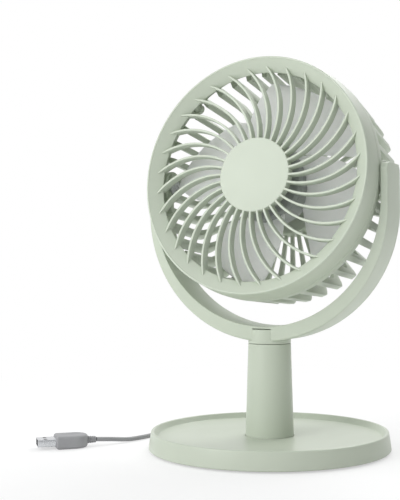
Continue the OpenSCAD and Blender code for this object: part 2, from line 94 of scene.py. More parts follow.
def surface(
    name, colour, rough, metal=0.0, tint=0.03, tint_scale=40.0, grain=2600.0, grain_mm=0.01, wave_mm=0.0,
    rough_spread=0.06, specular=0.5, stretch=(1, 1, 1), subsurface=0.0, depth_mm=2.0,
):
    """A solid finish: slow colour and gloss variation, fine grain, and slow waves where the mould leaves them."""
    made = bpy.data.materials.new(name)
    made.use_nodes = True
    made.diffuse_color = (*colour, 1)
    tree = made.node_tree
    shader = tree.nodes["Principled BSDF"]
    shader.inputs["Metallic"].default_value = metal
    shader.inputs["Specular IOR Level"].default_value = specular
    shader.inputs["Subsurface Weight"].default_value = subsurface
    shader.inputs["Subsurface Radius"].default_value = (1, 1, 1)
    shader.inputs["Subsurface Scale"].default_value = depth_mm * MM
    where = tree.nodes.new("ShaderNodeTexCoord")
    scaled = tree.nodes.new("ShaderNodeMapping")
    scaled.inputs["Scale"].default_value = stretch
    tree.links.new(where.outputs["Object"], scaled.inputs["Vector"])

    def noise(scale, detail):
        made_noise = node_at(tree, "ShaderNodeTexNoise", Scale=scale, Detail=detail, Roughness=0.55)
        tree.links.new(scaled.outputs["Vector"], made_noise.inputs["Vector"])
        return made_noise

    slow = noise(tint_scale, 3.0)
    ramp = tree.nodes.new("ShaderNodeValToRGB")
    ramp.color_ramp.elements[0].position, ramp.color_ramp.elements[1].position = 0.3, 0.7
    ramp.color_ramp.elements[0].color = (*[c * (1 - tint) for c in colour], 1)
    ramp.color_ramp.elements[1].color = (*[min(1, c * (1 + tint)) for c in colour], 1)
    tree.links.new(slow.outputs["Fac"], ramp.inputs["Fac"])
    tree.links.new(ramp.outputs["Color"], shader.inputs["Base Color"])
    span = node_at(tree, "ShaderNodeMapRange")
    span.inputs["To Min"].default_value = rough - rough_spread
    span.inputs["To Max"].default_value = rough + rough_spread
    tree.links.new(noise(tint_scale * 3.3, 4.0).outputs["Fac"], span.inputs["Value"])
    tree.links.new(span.outputs["Result"], shader.inputs["Roughness"])
    fine = tree.nodes.new("ShaderNodeBump")
    fine.inputs["Strength"].default_value = 1.0
    fine.inputs["Distance"].default_value = grain_mm * MM
    tree.links.new(noise(grain, 2.0).outputs["Fac"], fine.inputs["Height"])
    if wave_mm:
        wave = tree.nodes.new("ShaderNodeBump")
        wave.inputs["Strength"].default_value = 1.0
        wave.inputs["Distance"].default_value = wave_mm * MM
        tree.links.new(noise(WAVE_SCALE, 2.0).outputs["Fac"], wave.inputs["Height"])
        tree.links.new(wave.outputs["Normal"], fine.inputs["Normal"])
    tree.links.new(fine.outputs["Normal"], shader.inputs["Normal"])
    return made


SAGE = surface("sage_abs", (0.555, 0.61, 0.505), 0.42, tint=0.02, tint_scale=22, grain=2400, grain_mm=0.006,
               wave_mm=0.05, subsurface=0.04)
SAGE_TRAY = surface("sage_abs_tray", (0.535, 0.585, 0.485), 0.36, tint=0.025, tint_scale=18, grain=1900,
                    grain_mm=0.010, wave_mm=0.05, subsurface=0.04)
PALE = surface("rotor_pp", (0.95, 0.95, 0.96), 0.30, tint=0.02, tint_scale=30, grain=1500, grain_mm=0.004,
               wave_mm=0.04, subsurface=0.85, depth_mm=6)
HUB_GREY = surface("rotor_hub_pp", (0.40, 0.415, 0.41), 0.38, tint=0.03, grain=1500, grain_mm=0.006)
GREY = surface("grip_tpe", (0.33, 0.33, 0.34), 0.52, tint=0.05, grain=2200, grain_mm=0.014, specular=0.4)
JACKET = surface("cord_pvc", (0.30, 0.30, 0.31), 0.48, tint=0.05, tint_scale=120, grain=1800, grain_mm=0.014)
BLACK = surface("black_nylon", (0.018, 0.018, 0.02), 0.45, tint=0.15, grain=1800, grain_mm=0.01)
BOARD = surface("board_mask", (0.02, 0.13, 0.06), 0.30, tint=0.12, tint_scale=300, grain=900, grain_mm=0.01)
RUBBER = surface("foot_rubber", (0.045, 0.045, 0.045), 0.78, tint=0.2, grain=1600, grain_mm=0.03, specular=0.3)
STEEL = surface("zinc_steel", (0.62, 0.63, 0.65), 0.28, metal=1.0, tint=0.06, tint_scale=200, grain=1200,
                grain_mm=0.004, rough_spread=0.08)
BRUSHED = surface("brushed_steel", (0.60, 0.60, 0.61), 0.30, metal=1.0, tint=0.05, tint_scale=150, grain=900,
                  grain_mm=0.004, stretch=(1, 1, 12), rough_spread=0.08)
IRON = surface("ballast_iron", (0.10, 0.10, 0.105), 0.66, metal=0.6, tint=0.3, tint_scale=120, grain=900,
               grain_mm=0.05)
BRONZE = surface("sintered_bronze", (0.45, 0.27, 0.11), 0.42, metal=1.0, tint=0.1, tint_scale=300, grain=3000,
                 grain_mm=0.01)
GOLD = surface("contact_gold", (0.83, 0.58, 0.22), 0.25, metal=1.0, tint=0.04, tint_scale=300, grain_mm=0.003)
LENS = surface("light_pipe", (0.80, 0.82, 0.80), 0.18, tint=0.02, grain_mm=0.002, subsurface=0.5)

CAD_FINISH = {
    "ballast_weight": IRON, "usb_socket": STEEL, "socket_board": BOARD, "micro_plug_shell": STEEL,
    "swivel_shaft": STEEL, "swivel_washer": STEEL, "swivel_nut": STEEL, "pivot_pin_left": STEEL,
    "pivot_pin_right": STEEL, "friction_washer_left": BLACK, "friction_washer_right": BLACK,
    "motor_screws": STEEL, "front_bush": BRONZE, "rear_bush": BRONZE, "control_board": BOARD,
    "speed_switch": BLACK, "motor_shaft": STEEL,
}


# ---------- shapes: (points, faces) in millimetres ----------


def rounded(corners, steps=4):
    """A closed outline from its corners (x, y, radius)."""
    out = []
    for i, (x, y, r) in enumerate(corners):
        p = Vector((x, y))
        if not r:
            out.append((x, y))
            continue
        a = (Vector(corners[i - 1][:2]) - p).normalized()
        b = (Vector(corners[(i + 1) % len(corners)][:2]) - p).normalized()
        half = math.acos(max(-1.0, min(1.0, a.dot(b)))) / 2
        centre = p + (a + b).normalized() * (r / math.sin(half))
        start = p + a * (r / math.tan(half)) - centre
        end = p + b * (r / math.tan(half)) - centre
        turn = math.atan2(start.x * end.y - start.y * end.x, start.dot(end))
        for k in range(steps + 1):
            c, s = math.cos(turn * k / steps), math.sin(turn * k / steps)
            out.append((centre.x + c * start.x - s * start.y, centre.y + s * start.x + c * start.y))
    return out


def lathe(profile, segments=96):
    """A closed outline (radius, height) turned around Z. Points at radius 0 become poles."""
    points, index = [], {}
    for j in range(segments):
        a = 2 * math.pi * j / segments
        for i, (r, z) in enumerate(profile):
            if r < 1e-6:
                if j == 0:
                    points.append((0, 0, z))
                    index[i, -1] = len(points) - 1
                index[i, j] = index[i, -1]
            else:
                points.append((r * math.cos(a), r * math.sin(a), z))
                index[i, j] = len(points) - 1
    faces = []
    for j in range(segments):
        for i in range(len(profile)):
            k, m = (i + 1) % len(profile), (j + 1) % segments
            face = list(dict.fromkeys([index[i, j], index[i, m], index[k, m], index[k, j]]))
            if len(face) > 2:
                faces.append(face)
    return points, faces


def loft(rings, closed=False):
    """Rings of as many points each, joined in turn, with flat ends unless the row closes on itself."""
    n = len(rings[0])
    points = [tuple(p) for ring in rings for p in ring]
    last = len(rings) if closed else len(rings) - 1
    faces = []
    for i in range(last):
        j = (i + 1) % len(rings)
        faces += [(i * n + k, i * n + (k + 1) % n, j * n + (k + 1) % n, j * n + k) for k in range(n)]
    if not closed:
        faces.append(tuple(reversed(range(n))))
        faces.append(tuple(range((len(rings) - 1) * n, len(rings) * n)))
    return points, faces


def slab(outline, z0, z1, edge, steps=4):
    """outline(inset) gives a flat outline pulled in by inset. The slab has edges rounded to that radius."""
    turns = [math.pi / 2 * k / steps for k in range(steps + 1)]
    low = [[(x, y, z0 + edge * (1 - math.cos(t))) for x, y in outline(edge * (1 - math.sin(t)))] for t in turns]
    high = [[(x, y, z1 - edge * (1 - math.cos(t))) for x, y in outline(edge * (1 - math.sin(t)))]
            for t in reversed(turns)]
    return loft(low + high)


def block(x, y, z, edge=0.2):
    """A box with rounded edges between the limits x, y and z."""
    def outline(inset):
        r = max(0.02, edge - inset)
        x0, x1, y0, y1 = x[0] + inset, x[1] - inset, y[0] + inset, y[1] - inset
        return rounded([(x0, y0, r), (x1, y0, r), (x1, y1, r), (x0, y1, r)], 3)
    return slab(outline, z[0], z[1], edge, 3)


def disc(r, z0, z1, edge=0.2, segments=40, hole=0.0):
    """A round plate or bar with rounded edges, or a ring if it has a hole."""
    if hole:
        wall = [(hole, z0, edge / 2), (r, z0, edge), (r, z1, edge), (hole, z1, edge / 2)]
        return lathe(rounded(wall, 3), segments)
    return lathe(rounded([(0, z0, 0), (r, z0, edge), (r, z1, edge), (0, z1, 0)], 3), segments)


def moved(shape, matrix):
    """The shape with its points taken through a matrix."""
    return [tuple(matrix @ Vector(p)) for p in shape[0]], shape[1]


def shifted(shape, x, y, z=0):
    return moved(shape, Matrix.Translation((x, y, z)))


def around(shape, count, radius=0.0, start=0.0):
    """Copies of a shape around Z, each pushed out by radius."""
    return [moved(shape, Matrix.Rotation(math.radians(start + 360 * i / count), 4, "Z")
                  @ Matrix.Translation((radius, 0, 0))) for i in range(count)]


def along_x(shape, side=1):
    """Z of the shape to +X, or to -X for side -1."""
    return moved(shape, Matrix.Rotation(math.radians(90 * side), 4, "Y"))


def set_creases(mesh, angle):
    """Shades the mesh smooth, apart from edges sharper than an angle in degrees."""
    bm = bmesh.new()
    bm.from_mesh(mesh)
    for edge in bm.edges:
        edge.smooth = len(edge.link_faces) != 2 or edge.calc_face_angle(0.0) < math.radians(angle)
    for face in bm.faces:
        face.smooth = True
    bm.to_mesh(mesh)
    bm.free()


def solid(name, shapes, place=ROW):
    """One object of several shapes, in metres, with its faces turned outwards."""
    bm = bmesh.new()
    for points, faces in shapes:
        verts = [bm.verts.new((place @ Vector(p)) * MM) for p in points]
        for face in faces:
            bm.faces.new([verts[i] for i in face])
    bmesh.ops.recalc_face_normals(bm, faces=bm.faces)
    mesh = bpy.data.meshes.new(name)
    bm.to_mesh(mesh)
    bm.free()
    made = bpy.data.objects.new(name, mesh)
    scene.collection.objects.link(made)
    return made


def carve(target, cuts, place=ROW):
    """Takes the cuts out of an object, one after another."""
    for shape in cuts:
        tool = solid("cutter", [shape], place)
        cut = target.modifiers.new("cut", "BOOLEAN")
        cut.operation, cut.solver, cut.object = "DIFFERENCE", "EXACT", tool
        bpy.context.view_layer.update()
        done = bpy.data.meshes.new_from_object(target.evaluated_get(bpy.context.evaluated_depsgraph_get()))
        target.modifiers.clear()
        old, target.data = target.data, done
        bpy.data.meshes.remove(old)
        bpy.data.objects.remove(tool)


def carved(shapes, cuts):
    """The shapes with the cuts taken out, as one shape again."""
    made = solid("blank", shapes)
    carve(made, cuts)
    out = [tuple(v.co / MM) for v in made.data.vertices], [tuple(p.vertices) for p in made.data.polygons]
    bpy.data.objects.remove(made)
    return out


def piece(name, shapes, body, material, replaces=(), place=ROW, cuts=(), crease=32):
    """A finished piece: built, cut, given its finish, and set riding on its CAD body."""
    made = solid(name, shapes, place)
    carve(made, cuts, place)
    made.data.name = name
    made.data.materials.clear()
    made.data.materials.append(material)
    set_creases(made.data, crease)
    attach(made, body)
    if replaces:
        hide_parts(*replaces)
    return made


def screw(head_r, head_h, shank_r, length):
    """A pan head whose outside is at z 0, with a plain shank that runs on to z length."""
    dome = rounded([(0, 0, 0), (head_r * 0.72, 0, head_r * 0.25), (head_r, head_h * 0.55, head_h * 0.3),
                    (head_r, head_h, 0.08), (shank_r, head_h, 0), (shank_r, length - 0.4, 0.1), (0, length, 0)], 3)
    return lathe(dome, 28)


def cross_cuts(head_r, head_h):
    """The two slots of a cross recess, tapering inwards."""
    out = []
    wide, deep = head_r * 0.62, head_h * 0.62
    for turn in (0, 90):
        bar = loft([[(-w, -t, z), (w, -t, z), (w, t, z), (-w, t, z)]
                    for w, t, z in ((wide, head_r * 0.15, -0.5), (wide * 0.55, head_r * 0.09, deep))])
        out.append(moved(bar, Matrix.Rotation(math.radians(turn + 20), 4, "Z")))
    return out


def screws(name, body, places, head_r, head_h, shank_r, length, replaces):
    """Screws in one piece, each placed by a matrix whose Z runs into the material."""
    one = carved([screw(head_r, head_h, shank_r, length)], cross_cuts(head_r, head_h))
    return piece(name, [moved(one, m) for m in places], body, STEEL, replaces)


# ---------- base ----------

BOSS_R, COLUMN_SCREW_R = 60, 15.5


def spots_around(count, radius, start, z):
    """Points spread evenly on a circle at a height."""
    turns = [math.radians(start + 360 * k / count) for k in range(count)]
    return [(radius * math.cos(a), radius * math.sin(a), z) for a in turns]


def make_base():
    tray = rounded([(75.9, 0.9, 0.3), (76.5, 1.5, 0.4), (74.93, 12.0, 0.95), (73.1, 12.0, 0.85), (70.6, 8.4, 1.4),
                    (15.6, 8.4, 0.25), (15.6, 6.4, 0.1), (73.3, 6.4, 0.4), (73.6, 0.9, 0.15)], 5)
    bosses = around(disc(3.2, 2.8, 6.6, 0.1, 24, hole=1.3), 4, BOSS_R, 45)
    piece("tray_base_shell", [lathe(tray, 160)], "base", SAGE_TRAY, ["tray_base"],
          cuts=[block((-4.6, 4.6), (68, 80), (3.0, 6.39), 0.5)])
    piece("tray_bosses", bosses, "base", SAGE)
    plate = rounded([(0, 1.2, 0), (19, 1.2, 0.1), (19.4, 1.5, 0.1), (24, 1.5, 0.1), (24.4, 1.2, 0.1),
                     (63.6, 1.2, 0.1),
                     (64, 1.5, 0.1), (72.2, 1.5, 0.1), (73.3, 1.9, 0.2), (73.3, 2.8, 0.3), (0, 2.8, 0)], 2)
    piece("base_plate_shell", [lathe(plate, 128)], "base", SAGE, ["base_plate"],
          cuts=around(disc(2.9, 0, 1.9, 0.1, 24), 4, BOSS_R, 45)
          + around(disc(3.1, 0, 1.9, 0.1, 24), 3, COLUMN_SCREW_R, 90))
    ring = rounded([(66, 1.55, 0.1), (66, 0, 0.4), (68.0, 0, 0.3), (68.2, 0.4, 0.1), (68.8, 0.4, 0.1), (69.0, 0, 0.3),
                    (71, 0, 0.4), (71, 1.55, 0.1)], 3)
    piece("rubber_foot", [lathe(ring, 128)], "base", RUBBER, ["foot_ring"])
    screws("plate_screw_set", "base", [Matrix.Translation(p) for p in spots_around(4, BOSS_R, 45, 0.5)],
           2.6, 1.3, 1.3, 5.0, ["plate_screws"])
    screws("column_screw_set", "base", [Matrix.Translation(p) for p in spots_around(3, COLUMN_SCREW_R, 90, 0.5)],
           2.8, 1.3, 1.5, 5.4, ["column_screws"])
    column = rounded([(10.6, 2.8, 0), (20, 2.8, 0.2), (20, 6.3, 0.4), (15.3, 6.3, 0.1), (15.3, 8.0, 0),
                      (15.27, 9.0, 0), (13.6, 66.2, 0.15), (5.05, 66.2, 0.2), (5.05, 59.2, 0.1),
                      (10.6, 59.2, 0.2)], 4)
    piece("column_tube", [lathe(column, 128)], "base", SAGE, ["column"])


# ---------- swivel and yoke ----------

YOKE_IN, YOKE_IN_Z = 78.7, 155.9
YOKE_OUT, YOKE_OUT_Z = 83.3, 151.3
YOKE_FRONT, YOKE_SEAM, YOKE_BACK = -12, 9.5, 12
POCKET_Y = -9.5
PIN_R = 4.0
ARM_TOP = PIVOT + 8.5
SCREW_SPOTS = [(-30, 78.4), (30, 78.4), (-81, 162), (81, 162)]


def yoke_section(inner, outer, front, back, radii, pull=0.0):
    """A ring across the yoke from its inner to its outer point (x, z), from y front to y back."""
    span = outer - inner
    thick = span.length
    way = span / thick
    f_in, f_out, b_out, b_in = radii
    flat = rounded([(pull, front + pull, f_in), (thick - pull, front + pull, max(0.2, f_out - pull)),
                    (thick - pull, back - pull, b_out), (pull, back - pull, b_in)], 8)
    return [(inner.x + way.x * s, y, inner.y + way.y * s) for s, y in flat]


def yoke_part(front, back, radii):
    """A U of that depth. Its arm ends are rounded like the arms seen from the side, with a small edge."""
    corner, edge, bend = 5.0, 0.5, ARM_TOP - 5.0

    def arm(sign):
        rows = []
        for k in range(1, 9):
            z = YOKE_OUT_Z + (bend - YOKE_OUT_Z) * k / 8
            rows.append((z, YOKE_IN_Z + (bend - YOKE_IN_Z) * k / 8, z, 0.0))
        for k in range(1, 11):
            z = bend + (corner - edge) * math.sin(math.pi / 2 * k / 10)
            rows.append((z, z, z, 0.0))
        for k in range(1, 5):
            t = math.pi / 2 * k / 4
            z = ARM_TOP - edge + edge * math.sin(t)
            rows.append((z if k < 4 else ARM_TOP - 0.02, z, z, edge * (1 - math.cos(t))))
        out = []
        for z, z_in, z_out, pull in rows:
            rise = max(0.0, z - bend)
            reach = YOKE_BACK - corner + math.sqrt(max(0.0, corner * corner - rise * rise))
            out.append(yoke_section(Vector((sign * YOKE_IN, z_in)), Vector((sign * YOKE_OUT, z_out)),
                                    max(front, -reach), min(back, reach), radii, pull))
        return out

    arc = []
    for k in range(97):
        a = math.radians(-90 + 180 * k / 96)
        arc.append(yoke_section(Vector((YOKE_IN * math.sin(a), YOKE_IN_Z - YOKE_IN * math.cos(a))),
                                Vector((YOKE_OUT * math.sin(a), YOKE_OUT_Z - YOKE_OUT * math.cos(a))),
                                front, back, radii))
    return loft(list(reversed(arm(-1))) + arc + arm(1))


def facing_back(x, z, y):
    """Places a part at x and z whose Z runs forwards from depth y."""
    return Matrix.Translation((x, y, z)) @ Matrix.Rotation(math.radians(90), 4, "X")


def make_yoke():
    pocket = carved([disc(13.62, 60, 76.0, 0.05, 96)], [block((-30, 30), (POCKET_Y, 40), (50, 90), 0.02)])
    pin_holes = [shifted(along_x(disc(PIN_R, 60, 81.5, 0.05, 40), side), 0, 0, PIVOT) for side in (-1, 1)]
    arch = yoke_part(YOKE_FRONT, YOKE_SEAM, (0.35, 1.2, 0.25, 0.2))
    piece("yoke_shell", [arch], "yoke", SAGE, ["yoke_arch"],
          cuts=[pocket, *pin_holes, disc(5.0, 60, 73, 0.02, 48)])
    spots = [facing_back(x, z, YOKE_BACK) for x, z in SCREW_SPOTS]
    back = yoke_part(YOKE_SEAM + 0.06, YOKE_BACK, (0.2, 0.25, 0.7, 0.35))
    piece("yoke_back_shell", [back], "yoke", SAGE, ["yoke_back_cover"],
          cuts=[moved(disc(1.8, -0.5, 1.0, 0.03, 28), spot) for spot in spots])
    screws("yoke_screw_set", "yoke", spots, 1.65, 0.9, 0.9, 6.8, ["yoke_screws"])
    above = lathe([(0, POCKET_Y), (YOKE_OUT + 0.05, POCKET_Y), (YOKE_OUT + 0.05, 40), (0, 40)], 256)
    above = moved(above, Matrix.Translation((0, 0, YOKE_OUT_Z)) @ Matrix.Rotation(math.radians(-90), 4, "X"))
    piece("swivel_collar_shell", [disc(13.6, 66.5, 75.4, 0.2, 128, hole=5.05)], "yoke", SAGE,
          ["swivel_collar"], cuts=[above])


# ---------- head ----------

VANES, VANE_TURN, VANE_ARC_R = 32, -2.4, 48
DISC_R, DISC_Z = 23.8, 23.2
BEVEL_R, BEVEL_Z, BEVEL_SLOPE = 67, 20.5, 0.84
SLATS, SLAT_TURN = 40, 4.5
SLATS_AT_PADS = ((0, 1), (SLATS - 1, 1), (SLATS // 2 - 1, -1), (SLATS // 2, -1))
LUG_R = 70.9
PAD_IN = 71.9
COVER_BACK, COVER_SCREW_R, LIGHT_Y = -41.5, 21.2, 12


def bevel_z(r):
    """Height of the front ring's inner bevel at a radius."""
    return BEVEL_Z + (r - BEVEL_R) * BEVEL_SLOPE


def vane():
    """One curved vane: flush with the disc, ending as a pointed fin on the bevel."""
    tip, root, root_z, floor, rise_from = 70.6, DISC_R - 1, DISC_Z - 0.08, 17.2, 68
    rings = []
    for k in range(34):
        a = math.radians(-90 + 62.55 * k / 33)
        x, y = root + VANE_ARC_R * math.cos(a), VANE_ARC_R + VANE_ARC_R * math.sin(a)
        r = min(tip, math.hypot(x, y))
        top = root_z + (r - root) / (tip - root) * (bevel_z(tip) - root_z)
        low = floor + max(0, r - rise_from) * 2.05
        half = 0.74 * (1 - 0.55 * max(0, (r - 66) / 4.6) ** 1.5)
        radius = min(0.3, half * 0.5, (top - low) * 0.2)
        flat = rounded([(-half, low, radius), (half, low, radius), (half * 0.96, top, radius),
                        (-half * 0.96, top, radius)], 3)
        rings.append([(x + math.cos(a) * s, y + math.sin(a) * s, z) for s, z in flat])
    return loft(rings)


def slat():
    """A deep plate down the cage's side, round its corner and in along its back."""
    bend, bend_at = 6, (68.8, -31.5)
    turns = [math.radians(90 * k / 8) for k in range(1, 9)]
    outside = [(77.6 - 2.8 * k / 6, 6.4 - 37.9 * k / 6) for k in range(7)]
    outside += [(bend_at[0] + bend * math.cos(a), bend_at[1] - bend * math.sin(a)) for a in turns]
    outside += [(bend_at[0] - 41.0 * k / 6, bend_at[1] - bend) for k in range(1, 7)]
    inside = []
    corners = [Vector(p) for p in ((70.6, 5.8), (70, -20), (68.8, -27), (63, -32.5), (50, -34.5), (27.8, -34.5))]
    for start, end, steps in zip(corners, corners[1:], (6, 3, 5, 2, 4)):
        inside += [start.lerp(end, k / steps) for k in range(steps)]
    rings = []
    for outer, inner in zip(outside, inside + corners[-1:]):
        outer, inner = Vector(outer), Vector(inner)
        deep = (inner - outer).length
        way = (inner - outer) / deep
        wide, thin = 0.9 + (outer.x - 20) * 0.02, (0.9 + (inner.x - 20) * 0.02) * 0.96
        flat = rounded([(-wide, 0, 0.4), (wide, 0, 0.4), (thin, deep, 0.45), (-thin, deep, 0.45)], 3)
        rings.append([(outer.x + way.x * d, s, outer.y + way.y * d) for s, d in flat])
    return loft(rings)


def make_grille():
    ring = rounded([(77.6, 12.5, 0.3), (75.9, 27.25, 0.75), (74.75, 27.25, 0.42), (74.5, 26.8, 0.25),
                    (BEVEL_R, BEVEL_Z, 0.5), (67.7, 18.9, 0.4), (74.1, 24.7, 0.8), (75.6, 12.5, 0.3)], 5)
    hub = rounded([(0, 21.0, 0), (22.2, 21.0, 0.5), (22.2, 17.2, 0.2), (DISC_R, 17.2, 0.25), (DISC_R, DISC_Z, 0.6),
                   (0, DISC_Z, 0)], 5)
    vanes = around(vane(), VANES, 0, VANE_TURN)
    bosses = around(disc(2.6, 12.9, 21.3, 0.2, 24, hole=1.1), 4, LUG_R, 45)
    piece("grille_shell", [lathe(ring, 192), lathe(hub, 128)] + vanes + bosses, "head", SAGE,
          ["front_grille"], HEAD)


def make_cage():
    band = rounded([(77.6, 5.9, 0.3), (77.6, 12.2, 0.3), (75.1, 12.2, 0), (75.1, 15.1, 0.2), (73.6, 15.1, 0.2),
                    (73.6, 11.5, 0.2), (75.2, 9.5, 0.2), (75.2, 5.9, 0.3)], 3)
    hub = rounded([(28.4, -37.5, 0.3), (28.4, -27, 0.6), (3.2, -27, 0.2), (3.2, -29, 0.1), (26.4, -29, 0.4),
                   (26.4, -37.5, 0.2)], 3)
    bore = PIN_R + 0.05
    pads = [along_x(disc(10.5, PAD_IN, 77.9, 0.6, 72, hole=bore), side) for side in (-1, 1)]
    slats = around(slat(), SLATS, 0, SLAT_TURN)
    for k, side in SLATS_AT_PADS:
        room_for_pin = [along_x(disc(r, 60, end, 0.05, 72), side) for r, end in ((7.2, PAD_IN), (bore, 82))]
        slats[k] = carved([slats[k]], room_for_pin)
    lugs = around(disc(3.4, 9.6, 12.9, 0.2, 24, hole=1.1), 4, LUG_R, 45)
    posts = around(disc(2.2, -33.4, -28.8, 0.1, 20), 3, 13, 90)
    posts += around(disc(2.4, -35, -28.5, 0.1, 20, 1.1), 2, COVER_SCREW_R)
    piece("cage_shell", [lathe(band, 192), lathe(hub, 96)] + slats + pads + lugs + posts,
          "head", SAGE, ["cage_wall", "cage_back"], HEAD)
    spots = [Matrix.Rotation(math.radians(45 + 90 * k), 4, "Z") @ Matrix.Translation((LUG_R, 0, 8.0))
             for k in range(4)]
    screws("case_screw_set", "head", [HEAD @ m for m in spots], 2.2, 1.6, 1.1, 11, ["case_screws"])


def make_motor():
    can = rounded([(4, -27, 0), (14, -27, 0.4), (14, 2, 1.2), (9, 2, 0.3), (8.4, 1.4, 0.2), (4, 1.4, 0)], 4)
    piece("motor_drum", [lathe(can, 72)], "head", BRUSHED, ["motor_can"], HEAD)
    back = COVER_BACK
    cover = rounded([(5.3, back, 0.25), (24.0, back, 0.1), (24.2, -41.2, 0.1), (24.6, -41.2, 0.1), (24.8, back, 0.1),
                     (28.4, back, 1.2), (28.4, -37.55, 0.2), (26.3, -37.55, 0.1), (26.3, -35, 0.1), (24.8, -35, 0.1),
                     (24.8, -39.9, 0.2), (5.3, -39.9, 0.1)], 4)
    holes = around(disc(2.35, -43, -40.3, 0.05, 28), 2, COVER_SCREW_R)
    holes.append(shifted(disc(1.25, -44, -38, 0.05, 24), 0, LIGHT_Y))
    piece("motor_cover_shell", [lathe(cover, 128)], "head", SAGE, ["motor_cover"], HEAD, holes)
    spots = [Matrix.Translation((x, 0, COVER_BACK)) for x in (COVER_SCREW_R, -COVER_SCREW_R)]
    screws("cover_screw_set", "head", [HEAD @ m for m in spots], 2.15, 1.2, 1.1, 11, ["cover_screws"])
    light = rounded([(0, -41.7, 0), (1.2, -41.45, 0.4), (1.2, -34.7, 0.1), (0, -34.7, 0)], 4)
    piece("status_lens", [shifted(lathe(light, 28), 0, LIGHT_Y)], "head", LENS, ["status_light"], HEAD)
    knob = rounded([(0, -42.6, 0), (2.6, -42.65, 1.0), (4.2, -43.0, 0.5), (5, -42.7, 0.4), (5, -39.6, 0.05),
                    (6.2, -39.6, 0.1), (6.2, -38.8, 0.1), (0, -38.8, 0)], 4)
    piece("button_cap", [lathe(knob, 64)], "button", SAGE, ["speed_button"], HEAD)


# ---------- rotor ----------

BLADES, BLADE_TURN = 4, -10
BLADE_ROOT, BLADE_TIP, BLADE_T = 25.2, 66, 1.6
BLADE_PITCH, BLADE_BOW, BLADE_MID = math.radians(26), 400, -2
BLADE_CIRCLES = ((35, -38, 58), (33, 2, 48.5))
BLADE_LINES = ((12.0, 19.8), (37.2, -2.2), (90, -44.3))
BLADE_STEPS = 28


def blade():
    """One petal: a cambered sheet, pitched about its own radius, with thin edges. Its outline is bounded by
    circles (x, y, radius) and straight lines (direction of the normal, distance from the axis)."""
    sin, cos, bow = math.sin(BLADE_PITCH), math.cos(BLADE_PITCH), BLADE_BOW
    lean = Vector((0, -sin, cos))
    rings = []
    for i in range(BLADE_STEPS + 1):
        r = BLADE_ROOT + (BLADE_TIP - BLADE_ROOT) * (1 - (1 - i / BLADE_STEPS) ** 1.5)
        limits = [(math.atan2(y, x), (r * r + x * x + y * y - size * size) / (2 * r * math.hypot(x, y)))
                  for x, y, size in BLADE_CIRCLES] + [(math.radians(way), off / r) for way, off in BLADE_LINES]
        limits = [(way, math.acos(share)) for way, share in limits if abs(share) < 1]
        low, high = max(way - half for way, half in limits), min(way + half for way, half in limits)
        upper, under = [], []
        for j in range(BLADE_STEPS + 1):
            share = -math.cos(math.pi * j / BLADE_STEPS)
            a = (low + high) / 2 + (high - low) / 2 * share
            x, y = r * math.cos(a), r * math.sin(a)
            along = y
            for _ in range(8):
                along = (y + (math.sqrt(bow * bow - along * along) - bow) * sin) / cos
            z = along * sin + (math.sqrt(bow * bow - along * along) - bow) * cos + BLADE_MID
            thin = 1.5 * max(0.12, 1 - abs(share) ** 5) ** 0.5 * (1 - 0.7 * max(0, (r - 61) / 5) ** 3)
            upper.append(Vector((x, y, z)) - lean * (BLADE_T - thin) / 2)
            under.append(Vector((x, y, z)) - lean * (BLADE_T + thin) / 2)
        rings.append(upper + list(reversed(under)))
    return loft(rings)


def make_rotor():
    hub = rounded([(25.4, -12, 0.1), (26, -12, 0.15), (26, 4.3, 0.1), (25.6, 4.5, 0.05), (25.6, 4.9, 0.05),
                   (26, 5.1, 0.1), (26, 9, 1.5), (1.5, 9, 0.2), (1.5, 4.2, 0.1), (4.5, 4.2, 0.2), (4.5, 7, 0.3),
                   (25.4, 7, 0.5)], 5)
    piece("rotor_hub", [lathe(hub, 128)], "rotor", HUB_GREY, (), HEAD)
    piece("rotor_petals", around(blade(), BLADES, 0, BLADE_TURN), "rotor", PALE, ["rotor_blades"],
          HEAD, crease=50)
    cap = rounded([(0, 9, 0), (5, 9, 0.1), (5, 10.4, 0.6), (3.2, 11.2, 0.8), (0, 11.2, 0)], 4)
    piece("rotor_nose", [lathe(cap, 48)], "rotor", HUB_GREY, ["rotor_cap"], HEAD)


# ---------- plugs and cord ----------

NECK = 5.4
MICRO_GRIP, USB_GRIP = (17.3, 12.4, 6.4), (20.7, 17.6, 8)


